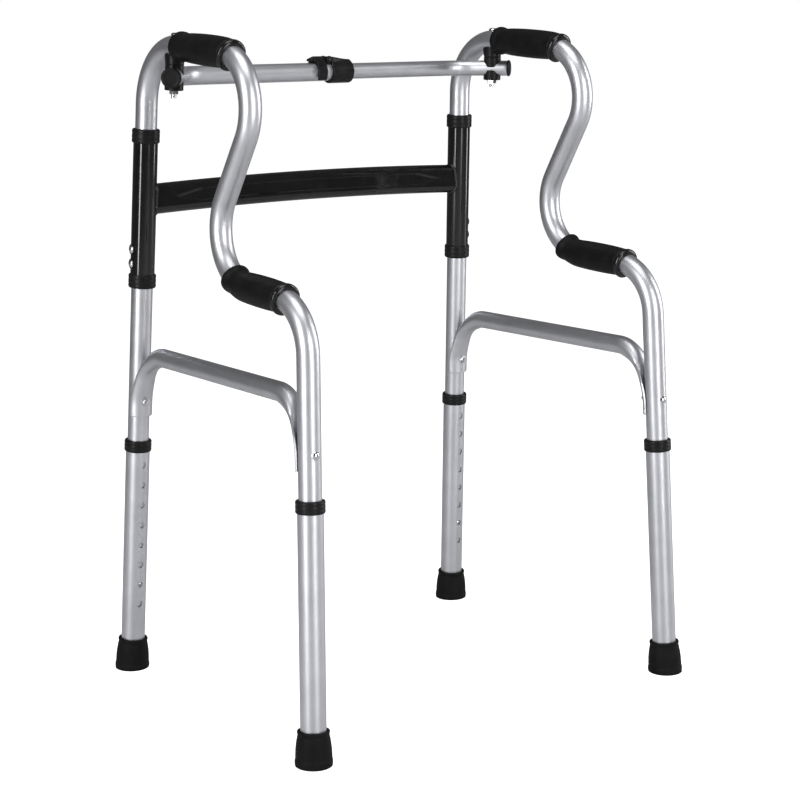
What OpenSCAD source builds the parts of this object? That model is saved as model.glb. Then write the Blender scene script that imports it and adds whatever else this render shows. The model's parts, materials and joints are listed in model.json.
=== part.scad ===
// Folding two-tier walking frame. Millimetres, +Z up, +Y forward (away from the
// user), origin on the floor under the middle of the four feet.

/* [Stance] */
// Distance between the front leg axes at the floor
track = 500; // [440:5:560]
// Distance from front leg axis to rear leg axis at the floor
reach = 412; // [392:2:452]
// Backward lean of the front legs in degrees, towards the user at the top
front_lean = 3.25; // [2:0.25:5]
// Inward lean of each side frame in degrees
side_lean = 1.6; // [0.5:0.1:2.5]
// Outward turn of each side frame in degrees, seen from above
toe_out = 1.45; // [0:0.05:3]
// Largest fold of each side frame in degrees, where the rear feet nearly meet
fold_max = 34; // [20:1:34]

/* [Side tube] */
// Outer diameter of the bent side tube
tube_d = 25.4; // [22:0.2:27]
// Wall of the bent side tube
tube_wall = 1.4; // [1:0.1:2]
// Height of the upper grip line, measured along the front leg
top_height = 760.5; // [745:0.5:790]
// Height of the lower grip line, measured along the front leg
lower_height = 512; // [500:1:525]
// Rise of both grip lines towards the user in degrees, from square to the front leg
grip_rise = 0.6; // [0:0.1:2]
// Where the upper grip line's rear corner lies behind the front leg
top_corner = 272; // [262:1:284]
// Where the lower grip line's front corner lies behind the front leg
lower_corner = 135; // [125:1:150]
// Angle between the front and rear legs in degrees
leg_angle = 5.98; // [5:0.02:7]
// Bend radius at the top of the front leg
front_bend = 70; // [60:1:74]
// Bend radius of the other three bends
bend = 60; // [54:1:64]

/* [Lower legs] */
// Wall of the lower legs and of the brace sleeves
leg_wall = 1.55; // [1.2:0.05:2.5]
// Height of the lower leg's open top above the floor
leg_top = 288; // [270:1:292]
// Distance between two height holes
hole_pitch = 25; // [20:0.5:28]
// Number of height holes
hole_count = 8; // [4:1:8]
// Height of the uppermost hole above the floor
first_hole = 260; // [235:1:262]
// Diameter of a height hole
hole_d = 7.6; // [7.2:0.1:9]
// Hole, counted from the top, that the snap button sits in
button_hole = 7; // [2:1:7]
// How far the rubber foot's lip stands out from the leg
foot_flare = 6.45; // [5:0.05:12]
// Height of the rubber foot
foot_h = 35; // [30:1:45]

/* [Brace] */
// Height of the cross tube's axis at its ends, measured along the front leg
brace_height = 578; // [560:1:600]
// Height of the brace's flattened cross tube
brace_tall = 36; // [28:1:44]
// Depth of the brace's flattened cross tube
brace_deep = 18; // [14:1:22]
// Upward bow of the brace's cross tube at its middle
brace_bow = 5; // [2:0.5:10]
// Lower and upper end of each brace sleeve, measured along the front leg
sleeve_ends = [476, 660];

/* [Side cross tube] */
// Diameter of the side frame's lower cross tube
rail_d = 22; // [16:0.5:24]
// Height of the lower cross tube's axis at the front leg
rail_height = 396.5; // [380:1:420]
// Bend radius of the lower cross tube
rail_bend = 36; // [30:1:44]
// Height of the lower cross tube's flattened ends
rail_foot = 320; // [319:1:326]

/* [Telescopic bar] */
// Distance of the bar's pivot bolt behind the front leg
pivot_reach = 63; // [58:1:67]
// Height of the bar's axis at the pivot bolt, measured along the front leg
bar_height = 726; // [718:1:728]
// Diameter of the bar's outer tube
bar_outer_d = 22; // [21:0.2:23]
// Wall of both bar tubes
bar_wall = 1.2; // [1:0.1:1.6]
// How far the bar's middle lies in front of its pivot bolts
bar_set = 36; // [32:1:42]
// Turn of the bar's ends towards the user in degrees
bar_turn = 50; // [45:1:55]
// Bend radius of the bar's ends
bar_bend = 50; // [44:1:54]
// Length of bar beyond each pivot bolt
bar_tail = 20; // [16:1:24]

/* [Grips] */
// Length of the upper hand grips along their tube
grip_length = 115.5; // [106:0.5:115.5]
// Length of the lower hand grips along their tube
lower_grip_length = 111; // [100:1:116]
// Thickness of the hand grips outside the side tube
grip_wall = 3.8; // [3:0.1:6]

/* [Hidden] */

$fn = 64;
left = -1;
right = 1;

// Fits
slide_gap = 0.05;    // leg or side tube inside its outer tube, per side
pin_gap = 0.08;      // bolt or pin in a hole that it turns in, per side
seat_gap = 0.1;      // fixed parts seated on each other
air_gap = 0.3;       // round faces of parts that move past each other

// Radii worked out once
tube_r = tube_d / 2;
bore_r = tube_r - tube_wall;
leg_bore_r = tube_r + slide_gap;
leg_r = leg_bore_r + leg_wall;
rail_r = rail_d / 2;
outer_r = bar_outer_d / 2;
inner_r = outer_r - bar_wall - air_gap;
grip_r = tube_r + grip_wall;

// Floor line seen from the leaning side frame
floor_drop = reach * sin(front_lean) / cos(leg_angle - front_lean);
depth = reach * cos(front_lean) - floor_drop * sin(leg_angle - front_lean);
front_y = depth * cos(toe_out) / 2;

// Point in front of the rear leg's axis, with its height measured along that leg
function rear_point(height, in_front = 0) = [
    reach - (height + floor_drop) * sin(leg_angle) - in_front * cos(leg_angle),
    (height + floor_drop) * cos(leg_angle) - in_front * sin(leg_angle)];

// Side tube corners in the side plane: [distance behind front leg, height]
tube_end = first_hole - (button_hole - 1) * hole_pitch - 30;
button_height = first_hole - (button_hole - 1) * hole_pitch;
rear_top = lower_height + (reach - lower_height * tan(leg_angle)) * tan(grip_rise);
side_corners = [
    [0, tube_end],
    [0, top_height],
    [top_corner, top_height + top_corner * tan(grip_rise)],
    [lower_corner, lower_height + lower_corner * tan(grip_rise)],
    [reach - rear_top * tan(leg_angle), rear_top],
    rear_point(tube_end)];
side_bends = [0, front_bend, bend, bend, bend, 0];

// Lower cross tube corners, level when the frame stands on its feet
strip = 3;
rail_wall = 1.5;
rail_offset = tube_r + seat_gap + rail_r;
rail_slope = tan(front_lean);
rail_end_h = 24;
rail_taper = 16;
rail_cut = 58;
rail_slant_angle = 36;
rail_bolt_h = 18;
rail_start = rail_foot + rail_end_h;
rear_corner = (reach - rail_offset / cos(leg_angle) - rail_height * tan(leg_angle))
    / (1 + rail_slope * tan(leg_angle));
rail_bends = [0, rail_bend, rail_bend, 0];
// Corners with the free ends at a given height above the floor
function rail_path(height) = [
    [rail_offset, height],
    [rail_offset, rail_height + rail_offset * rail_slope],
    [rear_corner, rail_height + rear_corner * rail_slope],
    rear_point(height, rail_offset)];

// Bolts of the cross tube
bolt_r = 3;
head_r = 5;
head_h = 3.2;
nut_w = 8;
nut_h = 4.5;

// Collars
collar_wall = 1.85;
collar_h = 16.5;
lip_h = 1.5;
leg_collar_h = 14.5;

// Stop rivets in the brace sleeves
rivet_heights = [503.5, 520.5];
rivet_r = 2;
rivet_head_r = 4.7;
rivet_head_h = 2.6;
washer_r = 6;
washer_h = 1.2;
slot_half_h = 2.5;
slot_margin = 13;

// Pivot of the telescopic bar
saddle_r = 10.75;
saddle_split = bar_height + outer_r + 3.5;
cradle_gap = 2;
keeper_h = outer_r + 3.5;
pivot_nut_w = 10;
pivot_nut_h = 4;
thread_end = 5;
pivot_head_h = 2.4;
pivot_sink = 1;

// Telescopic bar, level along X
function turn_x(v, a) = [v[0], v[1] * cos(a) - v[2] * sin(a), v[1] * sin(a) + v[2] * cos(a)];
function turn_y(v, a) = [v[0] * cos(a) + v[2] * sin(a), v[1], v[2] * cos(a) - v[0] * sin(a)];
function turn_z(v, a) = [v[0] * cos(a) - v[1] * sin(a), v[0] * sin(a) + v[1] * cos(a), v[2]];
function from_left_side(v) =
    [-track / 2, front_y, 0] + turn_z(turn_y(turn_x(v, front_lean), side_lean), -toe_out);
pivot_point = from_left_side([0, -pivot_reach, bar_height]);
bar_y = pivot_point[1] + bar_set;
bar_z = pivot_point[2];
corner_in = bar_set * tan(90 - bar_turn);
bar_corners = [
    [pivot_point[0] - bar_tail * cos(bar_turn), pivot_point[1] - bar_tail * sin(bar_turn)],
    [pivot_point[0] + corner_in, bar_y],
    [0, bar_y]];
bar_bends = [0, bar_bend, 0];
outer_stop = 30;
inner_stop = 38;
plug_lip = 0.8;
plug_h = 3;
plug_stem = 12;

// Lock in the middle of the bar
lock_start = 4;
lock_end = 35;
lock_r = outer_r + 3;
clip_start = -18;
clip_end = -5;
clip_r = outer_r + 4;
clip_gap = 0.4;
hinge_x = 2;
hinge_z = clip_r;
hinge_r = 3.4;
hinge_pin_r = 1.2;
tongue_w = 8;
ear_w = 3.5;
peg_x = -12;
peg_r = 1.8;

// Snap buttons and their springs
button_r = 3.2;
button_top = leg_r - 0.85;
button_travel = 3.4;
flange_r = 4.4;
flange_out = bore_r - 1.4;
flange_h = 1;
key_w = 8.4;
key_r = leg_r - 0.55;
leaf_t = 0.6;
leaf_w = 6;
leaf_h = 30;

// Turns plane drawings [behind, up] into the side frame's plane
module in_plane() rotate([90, 0, -90]) children();

// Places a side frame: its front leg axis is the local Z axis, its rear is local -Y
module left_place() translate([-track / 2, front_y, 0])
    rotate([front_lean, side_lean, -toe_out]) children();
module on_side(side) {
    if (side == left) left_place() children();
    else mirror([1, 0, 0]) left_place() children();
}
// Puts a shape on the rear leg's axis with its height measured from the floor
module on_rear_axis() translate([0, -reach, 0]) rotate([-leg_angle, 0, 0])
    translate([0, 0, floor_drop]) children();
module on_leg(side, is_rear) {
    if (is_rear) on_side(side) on_rear_axis() rotate([0, 0, 180]) children();
    else on_side(side) children();
}

// Bent pipes: straight runs and true arcs through a list of corners
function heading(p, q) = atan2(q[1] - p[1], q[0] - p[0]);
function wrapped(a) = a > 180 ? a - 360 : a < -180 ? a + 360 : a;
function turn_at(c, i) = wrapped(heading(c[i], c[i + 1]) - heading(c[i - 1], c[i]));
function setback(c, radii, i) =
    i == 0 || i == len(c) - 1 ? 0 : radii[i] * tan(abs(turn_at(c, i)) / 2);
function step_from(p, a, d) = [p[0] + d * cos(a), p[1] + d * sin(a)];

// Rods are solid; each bend is a hair thicker and laps its straight runs. `past` lengthens
// both free ends, for a rod that cuts a bore.
lap = 0.5;
lap_step = 0.2;
module run(p, a, length, radius) translate([p[0], p[1], 0])
    rotate([0, 0, a]) rotate([0, 90, 0]) cylinder(r = radius, h = length);
// One bend, or the part of it from `skip` degrees over `sweep` degrees
module arc_bend(c, radii, i, radius, skip = 0, sweep = 360) {
    a = heading(c[i - 1], c[i]);
    t = turn_at(c, i);
    hand = sign(t);
    start = step_from(c[i], a, -setback(c, radii, i));
    centre = step_from(start, a + 90 * hand, radii[i]);
    covered = min(sweep, abs(t) - skip);
    from = a - 90 * hand + hand * skip;
    translate([centre[0], centre[1], 0])
        rotate([0, 0, hand > 0 ? from : from - covered])
            rotate_extrude(angle = covered) translate([radii[i], 0]) circle(radius);
}
module bent_rod(c, radii, radius, past = 0) {
    last = len(c) - 1;
    for (i = [0:last - 1]) {
        a = heading(c[i], c[i + 1]);
        before = i == 0 ? past : lap;
        after = i == last - 1 ? past : lap;
        from = setback(c, radii, i) - before;
        run(step_from(c[i], a, from), a,
            norm(c[i + 1] - c[i]) - from - setback(c, radii, i + 1) + after, radius);
    }
    for (i = [1:last - 1]) arc_bend(c, radii, i, radius + lap_step);
}
module bent_pipe(c, radii, outer, inner) difference() {
    bent_rod(c, radii, outer);
    bent_rod(c, radii, inner, 1);
}

// A round ring standing on Z with both outer edges eased
module eased_ring(height, outer, inner, ease) rotate_extrude() polygon([
    [inner, 0], [outer - ease, 0], [outer - 0.3 * ease, 0.3 * ease], [outer, ease],
    [outer, height - ease], [outer - 0.3 * ease, height - 0.3 * ease],
    [outer - ease, height], [inner, height]]);

// Plastic collar: grips the outer tube below and closes round the inner tube above
module collar(height) difference() {
    eased_ring(height, leg_r + seat_gap + collar_wall, tube_r + air_gap, 1.6);
    translate([0, 0, -1]) cylinder(r = leg_r + seat_gap, h = height - lip_h + 1);
}

// Domed bolt head standing on Z
module dome_head(radius, height) {
    ball = (radius * radius + height * height) / (2 * height);
    intersection() {
        cylinder(r = radius, h = height);
        translate([0, 0, height - ball]) sphere(ball);
    }
}

module stadium_section(tall, deep) {
    square([tall - deep, deep], center = true);
    for (end = [-1, 1]) translate([end * (tall - deep) / 2, 0]) circle(deep / 2);
}
// Slightly bowed flat-sided tube between the sleeves
module bowed_bar(half_span, z_ends, y, tall, deep) {
    sweep_r = (half_span * half_span + brace_bow * brace_bow) / (2 * brace_bow);
    half_angle = asin(half_span / sweep_r);
    translate([0, y, z_ends + brace_bow - sweep_r]) rotate([90, 0, 0])
        rotate([0, 0, 90 - half_angle]) rotate_extrude(angle = 2 * half_angle, $fn = 256)
            translate([sweep_r, 0]) stadium_section(tall, deep);
}

module cross_brace() color([0.05, 0.05, 0.055]) {
    seat = from_left_side([0, 0, brace_height]);
    half_span = -seat[0];
    groove_half = half_span - 38;
    groove_deep = 1.1;
    wall = 2.2;
    difference() {
        union() {
            bowed_bar(half_span - leg_r / 2, seat[2], seat[1], brace_tall, brace_deep);
            for (side = [left, right]) on_side(side) translate([0, 0, sleeve_ends[0]])
                cylinder(r = leg_r, h = sleeve_ends[1] - sleeve_ends[0]);
        }
        bowed_bar(half_span - leg_r + 0.8, seat[2], seat[1],
            brace_tall - 2 * wall, brace_deep - 2 * wall);
        for (face = [-1, 1]) bowed_bar(groove_half, seat[2] + 1,
            seat[1] + face * (brace_deep / 2 + 3 - groove_deep), 12, 6);
        for (side = [left, right]) on_side(side) {
            translate([0, 0, sleeve_ends[0] - 1])
                cylinder(r = leg_bore_r, h = sleeve_ends[1] - sleeve_ends[0] + 2);
            for (h = rivet_heights) translate([0, 0, h]) rotate([0, -90, 0])
                cylinder(r = rivet_r + seat_gap, h = leg_r + 2);
        }
    }
}

module upper_collar(side) color([0.09, 0.09, 0.1]) on_side(side)
    translate([0, 0, sleeve_ends[1] + lip_h + seat_gap - collar_h]) collar(collar_h);
module lower_collar(side) color([0.09, 0.09, 0.1]) on_side(side)
    translate([0, 0, sleeve_ends[0] - lip_h - seat_gap + collar_h]) mirror([0, 0, 1])
        collar(collar_h);

// Two domed rivets per sleeve, each on a washer; the shanks ride in slots of the front leg
module rivet_axes() for (side = [left, right]) on_side(side)
    for (h = rivet_heights) translate([0, 0, h]) rotate([0, -90, 0]) children();
module stop_rivets() color([0.75, 0.76, 0.78]) rivet_axes() {
    translate([0, 0, bore_r - 0.8])
        cylinder(r = rivet_r, h = leg_r + washer_h - bore_r + 1.2);
    translate([0, 0, leg_r + washer_h + 0.05]) dome_head(rivet_head_r, rivet_head_h);
}
module stop_washers() color([0.06, 0.06, 0.065]) rivet_axes() difference() {
    translate([0, 0, leg_r - 1.5]) cylinder(r = washer_r, h = washer_h + 1.5);
    translate([0, 0, bore_r]) cylinder(r = rivet_r + seat_gap, h = 10);
    rotate([0, 90, 0]) cylinder(r = leg_r + 0.02, h = 20, center = true);
}

module side_tube(side) color([0.78, 0.79, 0.81]) on_side(side) difference() {
    in_plane() bent_pipe(side_corners, side_bends, tube_r, bore_r);
    // Slots for the stop rivets
    for (h = rivet_heights) translate([0, 0, h - slot_half_h])
        rotate([0, 0, 180 - fold_max - slot_margin])
            rotate_extrude(angle = fold_max + 2 * slot_margin)
                translate([bore_r - 1, 0]) square([tube_wall + 2, 2 * slot_half_h]);
    // Hole for the pivot bolt
    translate([0, -pivot_reach, saddle_split]) cylinder(r = bolt_r + seat_gap, h = 60);
    // Holes for the cross tube bolts
    rail_bolt_axes() translate([0, 0, -tube_r - 8])
        cylinder(r = bolt_r + seat_gap, h = 2 * tube_r + 16);
    // Holes for the snap buttons
    for (is_rear = [false, true]) in_leg_frame(is_rear) translate([0, 0, button_height])
        rotate([90, 0, 0]) cylinder(r = button_r + pin_gap, h = tube_r + 2);
}
// The leg frames inside one side: holes and buttons point along -Y of each leg frame
module in_leg_frame(is_rear) {
    if (is_rear) on_rear_axis() rotate([0, 0, 180]) children();
    else children();
}
// Axes of both cross tube bolts; +Z runs out of the leg on the side away from the rail
module rail_bolt_axes() {
    translate([0, 0, rail_foot + rail_bolt_h]) rotate([-90, 0, 0]) children();
    on_rear_axis() translate([0, 0, rail_foot + rail_bolt_h]) rotate([90, 0, 0]) children();
}

// Hand grips follow the tube: a long body, a flange in front and a ring at the rear
grip_flange = 12;
grip_ring = 8;
flange_rise = 0.8;
ring_rise = 1.5;
function arc_of(length, radius) = length / radius * 180 / PI;

module top_grip(side) color([0.07, 0.07, 0.075]) on_side(side) in_plane() difference() {
    c = side_corners;
    a = heading(c[1], c[2]);
    on_bend = 20;
    straight_end = norm(c[2] - c[1]) - setback(c, side_bends, 2);
    start = straight_end - grip_length + on_bend;
    sweep = arc_of(on_bend, bend);
    ring_sweep = arc_of(grip_ring, bend);
    union() {
        run(step_from(c[1], a, start), a, straight_end - start + lap, grip_r);
        run(step_from(c[1], a, start), a, grip_flange, grip_r + flange_rise);
        arc_bend(c, side_bends, 2, grip_r + lap_step, 0, sweep - lap_step);
        arc_bend(c, side_bends, 2, grip_r + ring_rise, sweep - ring_sweep, ring_sweep);
    }
    bent_rod(c, side_bends, tube_r + air_gap);
}

module lower_grip(side) color([0.07, 0.07, 0.075]) on_side(side) in_plane() difference() {
    c = side_corners;
    a = heading(c[3], c[4]);
    straight_start = setback(c, side_bends, 3);
    straight = norm(c[4] - c[3]) - straight_start - setback(c, side_bends, 4);
    spare = lower_grip_length - straight;
    rear_share = 0.28;
    turn = abs(turn_at(c, 3));
    front_sweep = arc_of(spare * (1 - rear_share), bend);
    rear_sweep = arc_of(spare * rear_share, bend);
    union() {
        arc_bend(c, side_bends, 3, grip_r + flange_rise, turn - front_sweep,
            arc_of(grip_flange, bend));
        arc_bend(c, side_bends, 3, grip_r + lap_step, turn - front_sweep + 1);
        run(step_from(c[3], a, straight_start - lap), a, straight + 2 * lap, grip_r);
        arc_bend(c, side_bends, 4, grip_r + ring_rise, 0, rear_sweep);
    }
    bent_rod(c, side_bends, tube_r + air_gap);
}

// Flattened end of the cross tube: a half shell pressed round the facing side of a leg.
// Drawn on a leg axis, reaching towards -Y, and narrower where the round tube takes over.
module rail_cup() intersection() {
    cup_r = tube_r + seat_gap + strip;
    edge = 3;
    translate([0, 0, rail_foot]) cylinder(r = cup_r, h = rail_end_h + rail_taper);
    translate([-cup_r, -2 * cup_r, rail_foot]) cube([2 * cup_r, 2 * cup_r - edge, leg_top]);
    translate([-cup_r, -edge, rail_start]) rotate([-rail_cut, 0, 0])
        translate([0, -2 * leg_top, -2 * leg_top]) cube([2 * cup_r, 4 * leg_top, 2 * leg_top]);
}
// Slanted face that ends the round tube behind the shell
module rail_slant() translate([-rail_r - 5, -rail_offset - rail_r, rail_start + rail_taper])
    rotate([-rail_slant_angle, 0, 0]) translate([0, -10, -60]) cube([2 * rail_r + 10, 80, 60]);

module side_rail(side) color([0.76, 0.77, 0.79]) on_side(side) difference() {
    union() {
        difference() {
            in_plane() bent_rod(rail_path(rail_start), rail_bends, rail_r);
            rail_slant();
            on_rear_axis() mirror([0, 1, 0]) rail_slant();
            in_plane() bent_rod(rail_path(rail_start + rail_taper), rail_bends, rail_r - rail_wall);
        }
        rail_cup();
        on_rear_axis() mirror([0, 1, 0]) rail_cup();
    }
    cylinder(r = tube_r + seat_gap, h = top_height);
    on_rear_axis() cylinder(r = tube_r + seat_gap, h = top_height);
    rail_bolt_axes() translate([0, 0, -60]) cylinder(r = bolt_r + seat_gap, h = 60);
}

module rail_bolts(side) color([0.75, 0.76, 0.78]) on_side(side) rail_bolt_axes() {
    shank = 2 * tube_r + seat_gap + strip + nut_h + 1;
    translate([0, 0, tube_r + 0.2 - shank]) cylinder(r = bolt_r, h = shank);
    difference() {
        translate([0, 0, tube_r - 0.9]) dome_head(head_r, head_h);
        rotate([90, 0, 0]) cylinder(r = tube_r + 0.02, h = 40, center = true);
    }
}

module rail_nuts(side) color([0.7, 0.71, 0.73]) on_side(side) rail_bolt_axes() difference() {
    translate([0, 0, -tube_r - seat_gap - strip - nut_h])
        cylinder(d = nut_w / cos(30), h = nut_h, $fn = 6);
    translate([0, 0, -60]) cylinder(r = bolt_r + seat_gap, h = 60);
}

module on_pivot(side) on_side(side) translate([0, -pivot_reach, 0]) children();

module tube_saddle(side) color([0.06, 0.06, 0.065]) difference() {
    on_pivot(side) translate([0, 0, saddle_split]) cylinder(r = saddle_r, h = top_height - saddle_split);
    on_side(side) in_plane() bent_rod(side_corners, side_bends, tube_r + seat_gap);
    on_pivot(side) translate([0, 0, saddle_split - 1]) cylinder(r = bolt_r + seat_gap, h = 60);
}

// Height and slope of the side tube's axis above the pivot bolt
function arch_height(u) = let (
    r = side_bends[1], s = setback(side_corners, side_bends, 1))
    top_height - s + sqrt(r * r - pow(r - min(u, s), 2));

function arch_slope(u) = acos(max(side_bends[1] - u, 0) / side_bends[1]);

// The head's underside is hollowed, so that it sits on the tube's back
module pivot_bolt(side) color([0.75, 0.76, 0.78]) on_pivot(side) {
    arch = arch_height(pivot_reach);
    tip = bar_height - keeper_h - pivot_nut_h - thread_end;
    translate([0, 0, tip]) cylinder(r = bolt_r, h = arch + tube_r - tip + 1);
    difference() {
        translate([0, 0, arch + tube_r - pivot_sink]) rotate_extrude() polygon([[0, 0],
            [head_r, 0], [head_r, pivot_head_h - 0.4], [head_r - 0.5, pivot_head_h + 0.3],
            [head_r - 1.7, pivot_head_h + 0.9], [0, pivot_head_h + pivot_sink]]);
        translate([0, 0, arch]) rotate([arch_slope(pivot_reach), 0, 0])
            cylinder(r = tube_r + lap_step + seat_gap / 2, h = 40, center = true);
    }
}

module pivot_nut(side) color([0.7, 0.71, 0.73]) on_pivot(side)
    translate([0, 0, bar_height - keeper_h - pivot_nut_h - seat_gap]) difference() {
        cylinder(d = pivot_nut_w / cos(30), h = pivot_nut_h, $fn = 6);
        translate([0, 0, -1]) cylinder(r = bolt_r + seat_gap, h = pivot_nut_h + 2);
    }

// The bar's tubes, drawn for the left and mirrored for the right
module bar_side(side) mirror([side == right ? 1 : 0, 0, 0]) translate([0, 0, bar_z]) children();
function bar_path(stop) = [bar_corners[0], bar_corners[1], [stop, bar_y]];
module pivot_bore(side) on_pivot(side) translate([0, 0, bar_height - 30])
    cylinder(r = bolt_r + pin_gap, h = 60);

module bar_outer_tube() color([0.78, 0.79, 0.81]) difference() {
    bar_side(left) bent_pipe(bar_path(outer_stop), bar_bends, outer_r, outer_r - bar_wall);
    pivot_bore(left);
    // Opening for the lock peg, long enough for the peg to swing out
    for (x = [peg_x, peg_x - 3]) translate([x, bar_y, bar_z]) cylinder(r = peg_r + 0.5, h = 20);
}
module bar_inner_tube() color([0.8, 0.81, 0.83]) difference() {
    bar_side(right) bent_pipe(bar_path(inner_stop), bar_bends, inner_r, inner_r - bar_wall);
    pivot_bore(right);
    translate([peg_x, bar_y, bar_z]) cylinder(r = peg_r + 0.5, h = 20);
}

// Closed plug in a bar end, with a raised rim
module end_plug(radius) {
    difference() {
        rotate_extrude() polygon([[0, 0], [radius + plug_lip - 1, 0], [radius + plug_lip, 0.5],
            [radius + plug_lip, plug_h - 0.8], [radius + plug_lip - 0.8, plug_h], [0, plug_h]]);
        translate([0, 0, plug_h - 0.8]) cylinder(r = radius - 2, h = 2);
    }
    translate([0, 0, -plug_stem])
        cylinder(r = radius - bar_wall - seat_gap, h = plug_stem + 0.1);
}
module bar_plug(side, radius) color([0.06, 0.06, 0.065]) bar_side(side)
    translate([bar_corners[0][0], bar_corners[0][1], 0])
        rotate([0, 0, heading(bar_corners[1], bar_corners[0])])
            translate([seat_gap, 0, 0]) rotate([0, 90, 0]) end_plug(radius);

module bar_cradle(side, radius) color([0.06, 0.06, 0.065]) difference() {
    on_pivot(side) translate([0, 0, bar_height + cradle_gap])
        cylinder(r = saddle_r, h = saddle_split - seat_gap - bar_height - cradle_gap);
    bar_side(side) bent_rod(bar_path(0), bar_bends, radius + seat_gap, 5);
    pivot_bore(side);
}
module bar_keeper(side, radius) color([0.06, 0.06, 0.065]) difference() {
    on_pivot(side) translate([0, 0, bar_height - keeper_h])
        cylinder(r = saddle_r, h = keeper_h - cradle_gap);
    bar_side(side) bent_rod(bar_path(0), bar_bends, radius + seat_gap, 5);
    pivot_bore(side);
}

// Lengthwise shapes of the lock lie along X on the bar's axis
module on_bar() translate([0, bar_y, bar_z]) children();
module along_x(from, to) translate([from, 0, 0]) rotate([0, 90, 0]) linear_extrude(to - from) children();

module lock_body() color([0.05, 0.05, 0.055]) on_bar() difference() {
    union() {
        along_x(lock_start, lock_end - 2) circle(lock_r);
        translate([lock_end - 2, 0, 0]) rotate([0, 90, 0])
            cylinder(r1 = lock_r, r2 = lock_r - 2, h = 2);
        // Ears of the lever's hinge
        for (face = [-1, 1]) translate([0, face * (tongue_w / 2 + air_gap + ear_w / 2), 0]) {
            translate([hinge_x, ear_w / 2, hinge_z]) rotate([90, 0, 0])
                cylinder(r = hinge_r, h = ear_w);
            translate([hinge_x - 1, -ear_w / 2, lock_r - 6])
                cube([hinge_r + 4, ear_w, hinge_z - lock_r + 8.8]);
        }
        // Ridge that runs down from the hinge
        rotate([90, 0, 0]) translate([0, 0, -tongue_w / 2 - ear_w]) linear_extrude(tongue_w + 2 * ear_w)
            polygon([[hinge_x + hinge_r + 1, lock_r - 6], [hinge_x + hinge_r + 1, hinge_z + 3],
                [lock_end - 10, lock_r - 1.5], [lock_end - 4, lock_r - 3]]);
    }
    along_x(lock_start - 6, outer_stop + seat_gap) circle(outer_r + seat_gap);
    along_x(outer_stop, lock_end + 1) circle(inner_r + air_gap);
    // Room for the lever's tongue and for the hinge pin
    translate([hinge_x, tongue_w / 2 + air_gap, hinge_z]) rotate([90, 0, 0])
        cylinder(r = hinge_r + 0.5, h = tongue_w + 2 * air_gap);
    translate([hinge_x - 9, -tongue_w / 2 - air_gap, 0]) cube([9, tongue_w + 2 * air_gap, 30]);
    translate([hinge_x, 20, hinge_z]) rotate([90, 0, 0]) cylinder(r = hinge_pin_r + 0.05, h = 40);
}

module lock_hinge_pin() color([0.7, 0.71, 0.73]) on_bar()
    translate([hinge_x, tongue_w / 2 + air_gap + ear_w + 0.2, hinge_z]) rotate([90, 0, 0])
        cylinder(r = hinge_pin_r, h = tongue_w + 2 * (air_gap + ear_w + 0.2));

module lock_lever() color([0.05, 0.05, 0.055]) on_bar() difference() {
    union() {
        along_x(clip_start, clip_end) circle(clip_r);
        // Tongue to the hinge and thumb tab
        translate([hinge_x, tongue_w / 2, hinge_z]) rotate([90, 0, 0])
            cylinder(r = hinge_r, h = tongue_w);
        translate([clip_end - 2, -tongue_w / 2, hinge_z - hinge_r])
            cube([hinge_x - clip_end + 2, tongue_w, 2 * hinge_r]);
        rotate([90, 0, 0]) translate([0, 0, -tongue_w / 2 - 1]) linear_extrude(tongue_w + 2)
            polygon([[clip_start - 6, clip_r - 2], [clip_start - 5, clip_r + 0.5],
                [clip_start + 3, clip_r + 3.6], [clip_end, clip_r + 3.6],
                [clip_end, clip_r - 5], [clip_start, clip_r - 3]]);
    }
    along_x(clip_start - 1, clip_end + 1) circle(outer_r + clip_gap);
    translate([clip_start - 8, -outer_r - clip_gap, -30]) cube([30, 2 * (outer_r + clip_gap), 30]);
    translate([hinge_x, 20, hinge_z]) rotate([90, 0, 0]) cylinder(r = hinge_pin_r + pin_gap, h = 40);
    translate([peg_x, 0, 0]) cylinder(r = peg_r + 0.05, h = clip_r);
}

module lock_peg() color([0.7, 0.71, 0.73]) on_bar() translate([peg_x, 0, inner_r + air_gap + 0.1])
    cylinder(r = peg_r, h = clip_r - inner_r - air_gap - 0.15);

module leg_tube(side, is_rear) color([0.8, 0.81, 0.83]) on_leg(side, is_rear) difference() {
    translate([0, 0, 6]) cylinder(r = leg_r, h = leg_top - 6);
    translate([0, 0, 5]) cylinder(r = leg_bore_r, h = leg_top);
    // Keyway that the snap button runs in between two holes
    intersection() {
        translate([0, 0, 40]) cylinder(r = key_r, h = leg_top);
        translate([-key_w / 2, -leg_r - 1, 40]) cube([key_w, leg_r, leg_top]);
    }
    for (k = [0:hole_count - 1]) translate([0, 0, first_hole - k * hole_pitch])
        rotate([90, 0, 0]) cylinder(d = hole_d, h = leg_r + 2);
}

module leg_collar(side, is_rear) color([0.09, 0.09, 0.1]) on_leg(side, is_rear)
    translate([0, 0, leg_top + seat_gap + lip_h - leg_collar_h]) collar(leg_collar_h);

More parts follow.
